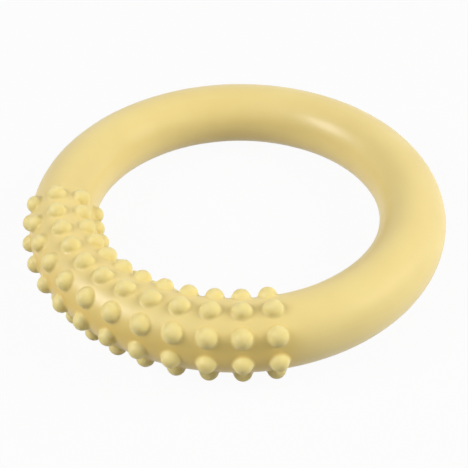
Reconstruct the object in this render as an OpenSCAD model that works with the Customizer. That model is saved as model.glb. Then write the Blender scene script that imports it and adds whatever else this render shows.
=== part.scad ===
// Rubber chew ring: a round tube bent into a closed ring, with rows of round
// nubs over about a quarter of it. The real thing is one moulding. Here the
// tube is one solid, and each nub is a solid of its own that sits on the tube.
// The origin is the ring's centre, +Z is the ring's axis, and the middle of the
// nubbed stretch is at -Y.

/* [Ring] */
// Outer diameter of the ring, over the smooth tube
ring_d = 120; // [90:1:150]
// Thickness of the round tube
tube_d = 18.8; // [17:0.1:24]

/* [Nubs] */
// How many nubs stand in each row along the tube
nub_count = 12; // [4:1:24]
// Distance from nub to nub, along the centre line of the tube
nub_spacing = 7.68; // [7.4:0.01:9]
// Diameter of a nub's round head
nub_d = 5; // [3:0.1:5.4]
// Height of a nub above the tube
nub_h = 2.4; // [1.6:0.1:3.4]
// Radius of the hollow curve where a nub's side runs into the tube
foot_r = 0.7; // [0.2:0.1:0.9]
// Steepness of a nub's foot at the tube, in degrees
foot_slope = 60; // [50:1:75]
// Angle of the first row from the tube's outer side towards its top, in degrees
row_angle = 40; // [30:1:44]

/* [Hidden] */
$fn = 96;
// The ring is so much larger than a nub that it is drawn with more steps
ring_steps = 256;
rubber = "#EBDB98";

// The tube
tube_r = tube_d / 2;
ring_r = ring_d / 2 - tube_r;

// Eight rows, evenly turned round the tube
row_count = 8;
row_step = 360 / row_count;

// The nubs of a row, evenly spread to both sides of -Y
nub_step = nub_spacing / ring_r * 180 / PI;
row_span = (nub_count - 1) * nub_step;

// A nub's outline: a round head, and a hollow curve that touches the head and
// then runs on at foot_slope through the skin of the tube
head_r = nub_d / 2;
head_z = nub_h - head_r;
curve_x = sqrt(pow(head_r + foot_r, 2) - pow(foot_r - head_z, 2));
touch_turn = asin((foot_r - head_z) / (head_r + foot_r));
touch_x = head_r * cos(touch_turn);
touch_z = head_z + head_r * sin(touch_turn);
slope_x = curve_x - foot_r * sin(foot_slope);
slope_z = foot_r * (1 - cos(foot_slope));
// How deep a nub is drawn into the tube before the tube is cut away from it
root_share = 0.4;
root_z = -root_share * head_r;
root_x = slope_x + (slope_z - root_z) / tan(foot_slope);

// A closed ring of round section, its centre line at ring_r
module tube() {
    rotate_extrude($fn = ring_steps)
        translate([ring_r, 0])
            circle(r = tube_r);
}

// Half of a nub's outline, with the tube's surface at height zero
module nub_outline() {
    intersection() {
        union() {
            translate([0, head_z])
                circle(r = head_r);
            difference() {
                polygon([
                    [0, root_z],
                    [root_x, root_z],
                    [slope_x, slope_z],
                    [touch_x, touch_z],
                    [0, touch_z]
                ]);
                translate([curve_x, foot_r])
                    circle(r = foot_r);
            }
        }
        translate([0, root_z])
            square([root_x, nub_h - root_z]);
    }
}

// One nub, standing on +Z with the tube's surface at height zero
module nub() {
    rotate_extrude()
        nub_outline();
}

// Puts a shape that stands on +Z at a place on the tube: turn goes round the
// ring from +X, and tilt round the tube from the outer side towards the top
module on_tube(turn, tilt) {
    rotate([0, 0, turn])
        translate([ring_r, 0, 0])
            rotate([0, 90 - tilt, 0])
                translate([0, 0, tube_r])
                    children();
}

// One row along the tube, each nub cut to sit on the tube's surface
module nub_row(row) {
    for (i = [0 : nub_count - 1])
        difference() {
            on_tube(i * nub_step - row_span / 2 - 90, row_angle + row * row_step)
                nub();
            tube();
        }
}

// The smooth tube, solid rubber
module ring_body() {
    color(rubber) tube();
}

// The row between the outer side and the top
module nubs_outer_shoulder() {
    color(rubber) nub_row(0);
}

// The row along the top
module nubs_crown() {
    color(rubber) nub_row(1);
}

// The row between the top and the hole
module nubs_inner_shoulder() {
    color(rubber) nub_row(2);
}

// The row that faces into the hole
module nubs_inner_side() {
    color(rubber) nub_row(3);
}

// The row between the hole and the underside
module nubs_inner_under() {
    color(rubber) nub_row(4);
}

// The row along the underside, on which the ring lies
module nubs_underside() {
    color(rubber) nub_row(5);
}

// The row between the underside and the outer side
module nubs_outer_under() {
    color(rubber) nub_row(6);
}

// The row that faces outwards
module nubs_outer_side() {
    color(rubber) nub_row(7);
}

ring_body();
nubs_outer_shoulder();
nubs_crown();
nubs_inner_shoulder();
nubs_inner_side();
nubs_inner_under();
nubs_underside();
nubs_outer_under();
nubs_outer_side();
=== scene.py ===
import math
import bpy
import numpy as np
from mathutils import Matrix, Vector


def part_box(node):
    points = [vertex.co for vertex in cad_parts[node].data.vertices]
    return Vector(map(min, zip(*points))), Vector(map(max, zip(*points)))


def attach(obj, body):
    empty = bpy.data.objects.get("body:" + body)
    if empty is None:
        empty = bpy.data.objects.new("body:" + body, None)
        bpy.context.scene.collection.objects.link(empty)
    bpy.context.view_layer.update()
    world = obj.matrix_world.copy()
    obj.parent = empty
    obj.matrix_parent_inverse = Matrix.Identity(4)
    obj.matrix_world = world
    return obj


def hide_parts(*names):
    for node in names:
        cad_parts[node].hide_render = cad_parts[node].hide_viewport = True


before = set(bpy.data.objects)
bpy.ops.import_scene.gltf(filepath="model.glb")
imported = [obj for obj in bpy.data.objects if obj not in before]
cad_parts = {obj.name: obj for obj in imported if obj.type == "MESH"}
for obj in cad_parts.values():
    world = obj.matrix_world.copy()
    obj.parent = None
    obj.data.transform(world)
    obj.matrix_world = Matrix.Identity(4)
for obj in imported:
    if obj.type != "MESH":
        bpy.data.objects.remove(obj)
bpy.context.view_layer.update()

# Camera
# It looks down on the ring from the right of the nubbed stretch, through a long lens. Its
# place, its roll and its lens come from the outline that a torus has in the photograph.
camera_azimuth = math.radians(38.42)
camera_elevation = math.radians(39.16)
camera_roll = math.radians(-0.93)
camera_distance = 0.294
camera_lens = 77.4
camera_sensor = 36
camera_near = 0.01
# The ring's centre lies this share of the picture's width off the picture's centre
centre_right_share = 0.0076
centre_up_share = 0.0535

camera_data = bpy.data.cameras.new("camera")
camera_data.lens = camera_lens
camera_data.sensor_width = camera_sensor
camera_data.shift_x = -centre_right_share
camera_data.shift_y = -centre_up_share
camera_data.clip_start = camera_near
camera = bpy.data.objects.new("camera", camera_data)
camera.matrix_world = (
    Matrix.Rotation(camera_azimuth, 4, "Z")
    @ Matrix.Rotation(math.pi / 2 - camera_elevation, 4, "X")
    @ Matrix.Rotation(camera_roll, 4, "Z")
    @ Matrix.Translation((0, 0, camera_distance))
)
bpy.context.collection.objects.link(camera)
bpy.context.scene.camera = camera
bpy.context.scene.view_settings.view_transform = "Standard"

# The ring
# One solid round tube of natural rubber, closed to a ring and cured in a two-part mould.
# Its skin follows the polish of the mould, with the low waves that soft rubber shrinks into.
mm = 0.001
# The far corner of the ring's box gives both of its radii
ring_far_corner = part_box("ring_body")[1]
tube_r = ring_far_corner.z
ring_r = ring_far_corner.x - tube_r
turn_steps = 384
tilt_steps = 96
# Each wave of the skin: waves round the ring, waves round the tube, height, phase
skin_waves = [
    (5, 1, 0.012 * mm, 0.4),
    (11, -2, 0.010 * mm, 2.1),
    (17, 3, 0.008 * mm, 4.4),
    (29, 5, 0.005 * mm, 5.2),
]
# The nubbed stretch, where painted shade darkens the skin between the nubs on the side
# turned from the light. Turns run round the ring from +X, and tilts round the tube from its
# outer side over its top.
nub_count = 12
nub_spacing = 7.68 * mm
row_count = 8
row_step = 2 * math.pi / row_count
first_row_tilt = math.radians(40)
stretch_middle = math.radians(-90)
# How far round a nub the painted shade spreads, and the nearness at which it is full
hollow_spread = 4 * mm
full_nearness = 1.5
# The tilt at which it has half its strength, and how fast it changes with the tilt there
half_away_tilt = math.radians(35)
away_change = 1.5


def skin(turn, tilt):
    """How far the skin sinks under a true torus: a sum of sines with whole numbers of waves
    round the ring and round the tube, less the sum of their heights, so that it is never proud."""
    return sum(
        height * (np.sin(around * turn + across * tilt + phase) - 1)
        for around, across, height, phase in skin_waves
    )


def on_tube(turn, tilt, height):
    """Points over the tube's skin: out from the tube's centre line by tube_r + skin + height, in
    the direction that tilt gives, at the place round the ring that turn gives."""
    reach = tube_r + skin(turn, tilt) + height
    out = ring_r + reach * np.cos(tilt)
    return np.stack([out * np.cos(turn), out * np.sin(turn), reach * np.sin(tilt)], axis=-1)


def turned_away(tilt):
    """How far a place on the tube is turned away from the light above: a half, less away_change
    times the sine of the tilt past half_away_tilt, held between 0 and 1. So it is 0 on top and
    towards the hole, and 1 outwards and below, with a soft change between them."""
    return np.clip(0.5 - away_change * np.sin(tilt - half_away_tilt), 0, 1)


def wrapped_quads(rows, columns):
    """Faces of a grid of rows by columns of points that is closed in both directions."""
    row, column = np.meshgrid(np.arange(rows), np.arange(columns), indexing="ij")
    next_row, next_column = (row + 1) % rows, (column + 1) % columns
    return np.stack(
        [
            row * columns + column,
            next_row * columns + column,
            next_row * columns + next_column,
            row * columns + next_column,
        ],
        axis=-1,
    ).reshape(-1, 4)


def new_piece(name, points, faces):
    """A smooth mesh object at the origin from an array of points and lists of faces."""
    mesh = bpy.data.meshes.new(name)
    mesh.from_pydata(points.reshape(-1, 3).tolist(), [], faces)
    mesh.polygons.foreach_set("use_smooth", [True] * len(mesh.polygons))
    mesh.update()
    piece = bpy.data.objects.new(name, mesh)
    bpy.context.collection.objects.link(piece)
    return piece


def linear(colour):
    """The linear RGBA of an sRGB colour written as hex digits, by the sRGB curve: a straight line
    near black, and a power of 2.4 above it."""
    parts = [int(colour[i : i + 2], 16) / 255 for i in (1, 3, 5)]
    return [c / 12.92 if c <= 0.04045 else ((c + 0.055) / 1.055) ** 2.4 for c in parts] + [1]


def add_node(tree, kind, settings=(), links=()):
    """Adds a node to tree, sets its sockets and properties, and links other nodes' outputs to it.
    Sockets that share a name are given by number, such as the values of a Math node."""
    node = tree.nodes.new(kind)
    for name, value in dict(settings).items():
        if isinstance(name, int) or name in node.inputs:
            node.inputs[name].default_value = value
        else:
            setattr(node, name, value)
    for name, output in dict(links).items():
        tree.links.new(output, node.inputs[name])
    return node


def moulded_rubber():
    """Natural rubber, filled pale yellow and cured in a polished steel mould. To the eye it has a
    satin skin with faint clouds of colour, patches that are a little duller, and a fine grain."""
    material = bpy.data.materials.new("moulded_natural_rubber")
    material.use_nodes = True
    tree = material.node_tree
    tree.nodes.clear()
    place = add_node(tree, "ShaderNodeTexCoord").outputs["Object"]
    # Most values of a noise texture lie between these two
    noise_low = 0.3
    noise_high = 0.7

    # Clouds of colour, from uneven mixing and curing
    cloud_width = 20 * mm
    clouds = add_node(
        tree, "ShaderNodeTexNoise",
        {"Scale": 1 / cloud_width, "Detail": 3.0, "Roughness": 0.5}, {"Vector": place},
    )
    colour = add_node(tree, "ShaderNodeValToRGB", links={"Fac": clouds.outputs["Fac"]})
    colour.color_ramp.elements[0].position = noise_low
    colour.color_ramp.elements[0].color = linear("#E9D186")
    colour.color_ramp.elements[1].position = noise_high
    colour.color_ramp.elements[1].color = linear("#EED88E")

    # A nub's head is painted a little lighter and greener: partly its own tone, partly painted
    # light for the glow that the head catches. Painted shade darkens the skin in the hollows
    # between the nubs.
    # A nub counts in full as head from head_level up. The ring stores no height, which reads as 0.
    head_level = 0.3 * mm
    height = add_node(tree, "ShaderNodeAttribute", {"attribute_name": "height"})
    head = add_node(
        tree, "ShaderNodeMapRange",
        {"From Min": 0.0, "From Max": head_level, "To Min": 0.0, "To Max": 1.0},
        {"Value": height.outputs["Fac"]},
    )
    # Painted shade, strongest in the hollows between the nubs on the side turned from the light
    hollow = add_node(tree, "ShaderNodeAttribute", {"attribute_name": "hollow"})
    # A Mix node takes its two colours at sockets 6 and 7, and gives the mixed one at output 2
    painted_shade_mix = add_node(
        tree, "ShaderNodeMix",
        {"data_type": "RGBA", "blend_type": "MULTIPLY", 7: linear("#F8EEC8")},
        {0: hollow.outputs["Fac"], 6: colour.outputs["Color"]},
    )
    head_tone_and_painted_light = add_node(
        tree, "ShaderNodeMix",
        {"data_type": "RGBA", 7: linear("#EEDD95")},
        {0: head.outputs["Result"], 6: painted_shade_mix.outputs[2]},
    )

    # Duller and shinier patches
    patch_width = 6 * mm
    patches = add_node(
        tree, "ShaderNodeTexNoise",
        {"Scale": 1 / patch_width, "Detail": 4.0, "Roughness": 0.6}, {"Vector": place},
    )
    roughness = add_node(
        tree, "ShaderNodeMapRange",
        {"From Min": noise_low, "From Max": noise_high, "To Min": 0.32, "To Max": 0.40},
        {"Value": patches.outputs["Fac"]},
    )
    # A head is rougher by this much, as if its hole in the mould were less polished than the rest
    head_dulling = 0.12
    duller = add_node(
        tree, "ShaderNodeMath", {"operation": "MULTIPLY_ADD", 1: head_dulling},
        {0: head.outputs["Result"], 2: roughness.outputs["Result"]},
    )

    # The mould's grain, coarser than the real one so that it shows
    grain_width = 0.5 * mm
    grain_depth = 0.05 * mm
    grain = add_node(
        tree, "ShaderNodeTexNoise",
        {"Scale": 1 / grain_width, "Detail": 2.0, "Roughness": 0.5}, {"Vector": place},
    )
    relief = add_node(
        tree, "ShaderNodeBump",
        {"Strength": 0.25, "Distance": grain_depth}, {"Height": grain.outputs["Fac"]},
    )

    # Light soaks this deep into a nub's small head, and evens it out. The tube is left without.
    soak_depth = 1.2 * mm
    shader = add_node(
        tree, "ShaderNodeBsdfPrincipled",
        {
            "IOR": 1.52,
            "Sheen Weight": 0.12,
            "Sheen Roughness": 0.5,
            "Subsurface Radius": (1.0, 1.0, 1.0),
            "Subsurface Scale": soak_depth,
        },
        {
            "Subsurface Weight": head.outputs["Result"],
            "Base Color": head_tone_and_painted_light.outputs[2],
            "Roughness": duller.outputs["Value"],
            "Normal": relief.outputs["Normal"],
        },
    )
    add_node(tree, "ShaderNodeOutputMaterial", links={"Surface": shader.outputs["BSDF"]})
    return material


turn, tilt = np.meshgrid(
    np.arange(turn_steps) * (2 * np.pi / turn_steps),
    np.arange(tilt_steps) * (2 * np.pi / tilt_steps),
    indexing="ij",
)
ring_faces = wrapped_quads(turn_steps, tilt_steps).tolist()
ring = new_piece("ring", on_tube(turn, tilt, 0), ring_faces)
nub_turns = stretch_middle + (np.arange(nub_count) - (nub_count - 1) / 2) * nub_spacing / ring_r
row_tilts = first_row_tilt + np.arange(row_count) * row_step
# Each point's distance from every nub, along the tube and round it, by the shorter way
turn_off = np.angle(np.exp(1j * (turn[..., None] - nub_turns)))
tilt_off = np.angle(np.exp(1j * (tilt[..., None] - row_tilts)))
along_off = turn_off * (ring_r + tube_r * np.cos(tilt[..., None]))
across_off = tilt_off * tube_r
# Nearness to the nubs: a bell curve of the distance from each, added up along the tube and round
# it, and the two sums multiplied
near_along = np.exp(-((along_off / hollow_spread) ** 2) / 2).sum(-1)
near_across = np.exp(-((across_off / hollow_spread) ** 2) / 2).sum(-1)
nearness = np.minimum(near_along * near_across / full_nearness, 1)
# Painted shade on the tube: nearness to the nubs times how far the skin is turned from the light
hollow = ring.data.attributes.new("hollow", "FLOAT", "POINT")
hollow.data.foreach_set("value", (nearness * turned_away(tilt)).ravel())
rubber = moulded_rubber()
ring.data.materials.append(rubber)
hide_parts("ring_body")
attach(ring, "root")

# The nubs
# Round nubs of the same rubber, moulded in one with the tube to rub a dog's gums. Each is a
# round head whose side runs out into the tube in a small concave curve.
head_r = 2.5 * mm
nub_h = 2.4 * mm
foot_r = 0.7 * mm
# From this share of its height up, a nub stands straight
straight_share = 0.7
# The rows' nodes, in the order of their tilts
row_nodes = [
    "nubs_outer_shoulder",
    "nubs_crown",
    "nubs_inner_shoulder",
    "nubs_inner_side",
    "nubs_inner_under",
    "nubs_underside",
    "nubs_outer_under",
    "nubs_outer_side",
]
head_steps = 14
foot_steps = 8
side_steps = 36
# How far the hidden edge of a nub lies under the tube's skin
edge_sink = 0.1 * mm
# A hidden root inside the tube closes it, so that light soaks through the nub alone: shares of
# the foot's reach, their depths, and the depth of the root's middle
root_shares = (1.0, 0.8)
root_depths = (1.8 * mm, 3.2 * mm)
middle_sink = 3.6 * mm


def nub_outline():
    """Distances from a nub's axis and heights over the tube, from the top of its head outwards:
    an arc of the head down to where the concave arc of the foot touches it, the foot's arc down to
    the tube, one point just under the skin, and the points of the hidden root."""
    head_z = nub_h - head_r
    touch = math.asin((foot_r - head_z) / (head_r + foot_r))
    foot_x = (head_r + foot_r) * math.cos(touch)
    head = np.linspace(np.pi / 2, touch, head_steps)[1:]
    foot = np.linspace(touch, np.pi / 2, foot_steps)[1:]
    distance = np.concatenate([
        head_r * np.cos(head),
        foot_x - foot_r * np.cos(foot),
        [foot_x + edge_sink],
        foot_x * np.array(root_shares),
    ])
    height = np.concatenate([
        head_z + head_r * np.sin(head),
        foot_r - foot_r * np.sin(foot),
        [-edge_sink],
        -np.array(root_depths),
    ])
    return distance, height


def nub_row(name, row_tilt):
    """A row of nubs. Above straight_share, points stand straight out at their distance from the
    nub's own axis. Below it they slide over to the same distance along the curved skin, by the
    square of their way down to the skin, so that the foot lies on it."""
    distance, height = nub_outline()
    side = np.arange(side_steps) * (2 * np.pi / side_steps)
    nub_turn = nub_turns[:, None, None]
    along = distance[:, None] * np.cos(side)
    across = distance[:, None] * np.sin(side)
    level = np.broadcast_to(height[:, None], along.shape)

    base = on_tube(nub_turn, row_tilt, 0)
    ahead = np.stack([-np.sin(nub_turn), np.cos(nub_turn), np.zeros_like(nub_turn)], axis=-1)
    up_tube = np.stack([
        -np.cos(nub_turn) * math.sin(row_tilt),
        -np.sin(nub_turn) * math.sin(row_tilt),
        np.full_like(nub_turn, math.cos(row_tilt)),
    ], axis=-1)
    out = np.cross(ahead, up_tube)
    straight = (
        base + along[..., None] * ahead + across[..., None] * up_tube + level[..., None] * out
    )
    tilt = row_tilt + across / tube_r
    turn = nub_turn + along / (ring_r + tube_r * np.cos(tilt))
    wrapped = on_tube(turn, tilt, level)
    slide = np.clip(1 - level / (straight_share * nub_h), 0, 1) ** 2
    sides = straight + slide[..., None] * (wrapped - straight)
    top = base + nub_h * out
    bottom = base - middle_sink * out

    points = np.concatenate([
        top.reshape(nub_count, 1, 3),
        sides.reshape(nub_count, -1, 3),
        bottom.reshape(nub_count, 1, 3),
    ], axis=1)
    rings = len(distance)
    first = np.arange(side_steps)
    second = (first + 1) % side_steps
    quads = [
        np.stack([1 + r * side_steps + first, 1 + (r + 1) * side_steps + first,
                  1 + (r + 1) * side_steps + second, 1 + r * side_steps + second], axis=-1)
        for r in range(rings - 1)
    ]
    last = 1 + (rings - 1) * side_steps
    caps = [
        np.stack([np.zeros_like(first), 1 + first, 1 + second], axis=-1),
        np.stack([last + first, np.full_like(first, last + side_steps), last + second], axis=-1),
    ]
    starts = range(0, nub_count * points.shape[1], points.shape[1])
    faces = [(block + start).tolist() for start in starts for block in quads + caps]
    piece = new_piece(name, points, [face for block in faces for face in block])
    heights = np.concatenate([[nub_h], np.repeat(height, side_steps), [-middle_sink]])
    stored = piece.data.attributes.new("height", "FLOAT", "POINT")
    stored.data.foreach_set("value", np.tile(heights, nub_count))
    # Painted shade over each whole nub, as strong as its row is turned from the light
    stored = piece.data.attributes.new("hollow", "FLOAT", "POINT")
    stored.data.foreach_set("value", np.full(nub_count * len(heights), turned_away(row_tilt)))
    return piece


for node, row_tilt in zip(row_nodes, row_tilts):
    row = nub_row(node.replace("nubs_", "nub_row_"), row_tilt)
    row.data.materials.append(rubber)
    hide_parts(node)
    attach(row, "root")

# The table
# Matt pale grey paint, shown as near white. The ring lies on the end nubs of its underside row
# and on the smooth tube opposite them, so the table leans by that little in the ring's frame.
end_turn = (nub_count - 1) / 2 * nub_spacing / ring_r
under_tilt = row_tilts[row_nodes.index("nubs_underside")]
nub_reach = tube_r + nub_h
end_y = -(ring_r + nub_reach * math.cos(under_tilt)) * math.cos(end_turn)
end_z = nub_reach * math.sin(under_tilt)
lean = math.atan2(-tube_r - end_z, ring_r - end_y)
table_size = 6.0
table_mesh = bpy.data.meshes.new("table")
half = table_size / 2
table_mesh.from_pydata(
    [(-half, -half, 0), (half, -half, 0), (half, half, 0), (-half, half, 0)], [], [(0, 1, 2, 3)]
)
table = bpy.data.objects.new("table", table_mesh)
table.matrix_world = (
    Matrix.Translation((0, ring_r, -tube_r / math.cos(lean))) @ Matrix.Rotation(lean, 4, "X")
)
bpy.context.collection.objects.link(table)


def seen_share(tree):
    """The greatest of three shares: 1 for a ray that comes straight from the camera, from a
    mirroring surface or through a clear one, and 0 for light that falls on something."""
    path = add_node(tree, "ShaderNodeLightPath")
    direct = add_node(
        tree, "ShaderNodeMath", {"operation": "MAXIMUM"},
        {0: path.outputs["Is Camera Ray"], 1: path.outputs["Is Glossy Ray"]},
    )
    seen = add_node(
        tree, "ShaderNodeMath", {"operation": "MAXIMUM"},
        {0: direct.outputs["Value"], 1: path.outputs["Is Transmission Ray"]},
    )
    return seen.outputs["Value"]


table_paint = bpy.data.materials.new("matt_table_paint")
table_paint.use_nodes = True
tree = table_paint.node_tree
tree.nodes.clear()
# The share of plain white in what is seen. The rest is the lit paint, with the ring's shadow.
plain_share = 0.95
paint = add_node(tree, "ShaderNodeBsdfDiffuse", {"Color": linear("#C1C1BF")})
plain = add_node(tree, "ShaderNodeEmission", {"Color": linear("#FFFFFF"), "Strength": 1.0})
shown = add_node(
    tree, "ShaderNodeMath", {"operation": "MULTIPLY", 1: plain_share}, {0: seen_share(tree)}
)
mixed = add_node(
    tree, "ShaderNodeMixShader", links={
        "Fac": shown.outputs["Value"], 1: paint.outputs["BSDF"], 2: plain.outputs["Emission"],
    },
)
add_node(tree, "ShaderNodeOutputMaterial", links={"Surface": mixed.outputs["Shader"]})
table_mesh.materials.append(table_paint)

# The light
# Two soft boxes stand on the camera's left and two on its right, in a surround that shows as
# white and gives the ring hardly any light.
world = bpy.data.worlds.new("surround")
bpy.context.scene.world = world
world.use_nodes = True
tree = world.node_tree
tree.nodes.clear()
fill = add_node(tree, "ShaderNodeBackground", {"Color": linear("#FFFFFF"), "Strength": 0.05})
white = add_node(tree, "ShaderNodeBackground", {"Color": linear("#FFFFFF"), "Strength": 1.0})
mixed = add_node(
    tree, "ShaderNodeMixShader", links={
        "Fac": seen_share(tree), 1: fill.outputs["Background"], 2: white.outputs["Background"],
    },
)
add_node(tree, "ShaderNodeOutputWorld", links={"Surface": mixed.outputs["Shader"]})

# All boxes face the ring's centre from this far, in metres
box_distance = 1.0
# Each soft box: name, azimuth and elevation of its place in degrees, width in metres, watts.
# Azimuth 0 is in front of the middle of the nubbed stretch, and 90 is on +X.
soft_boxes = [
    ("box_left", -40, 36, 0.42, 5.5),
    ("box_left_front", -22, 50, 1.00, 2.5),
    ("box_right", 122, 33, 0.60, 8.9),
    ("box_right_low", 153, 15, 0.50, 1.3),
]
for name, azimuth, elevation, width, watts in soft_boxes:
    lamp = bpy.data.lights.new(name, "AREA")
    lamp.shape = "SQUARE"
    lamp.size = width
    lamp.energy = watts
    holder = bpy.data.objects.new(name, lamp)
    holder.matrix_world = (
        Matrix.Rotation(math.radians(azimuth), 4, "Z")
        @ Matrix.Rotation(math.radians(90 - elevation), 4, "X")
        @ Matrix.Translation((0, 0, box_distance))
    )
    bpy.context.collection.objects.link(holder)
    # Only the left box is mirrored in the rubber. The others add light, but no highlights.
    holder.visible_glossy = name == "box_left"
